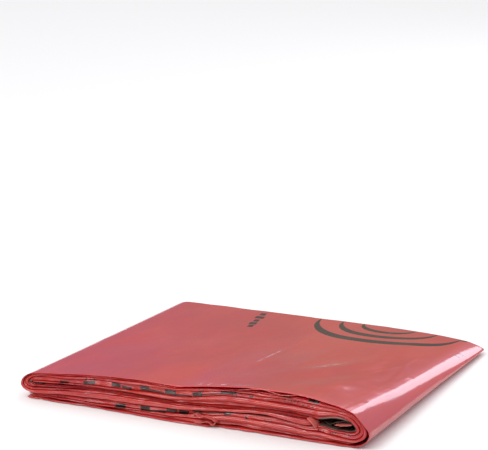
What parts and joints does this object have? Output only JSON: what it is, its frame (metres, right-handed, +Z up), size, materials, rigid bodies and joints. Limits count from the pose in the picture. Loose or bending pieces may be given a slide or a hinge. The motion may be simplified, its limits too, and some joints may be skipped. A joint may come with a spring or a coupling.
{
  "type": "folded waste bag",
  "caption": "Large lay-flat waste bag of thin red translucent film, unused and folded into a flat wedge-shaped stack of layers.",
  "frame": {"origin": "centre of the bounding box's underside, on the surface that the folded bag lies on", "axes": "+X to the right along the thick front edge, +Y to the thin back edge, +Z up through the layers"},
  "size_m": [0.309, 0.265, 0.0367],
  "materials": {
    "red_film": "gloss"
  },
  "bodies": {
    "root": {"folded_bag": "red_film"}
  },
  "joints": []
}
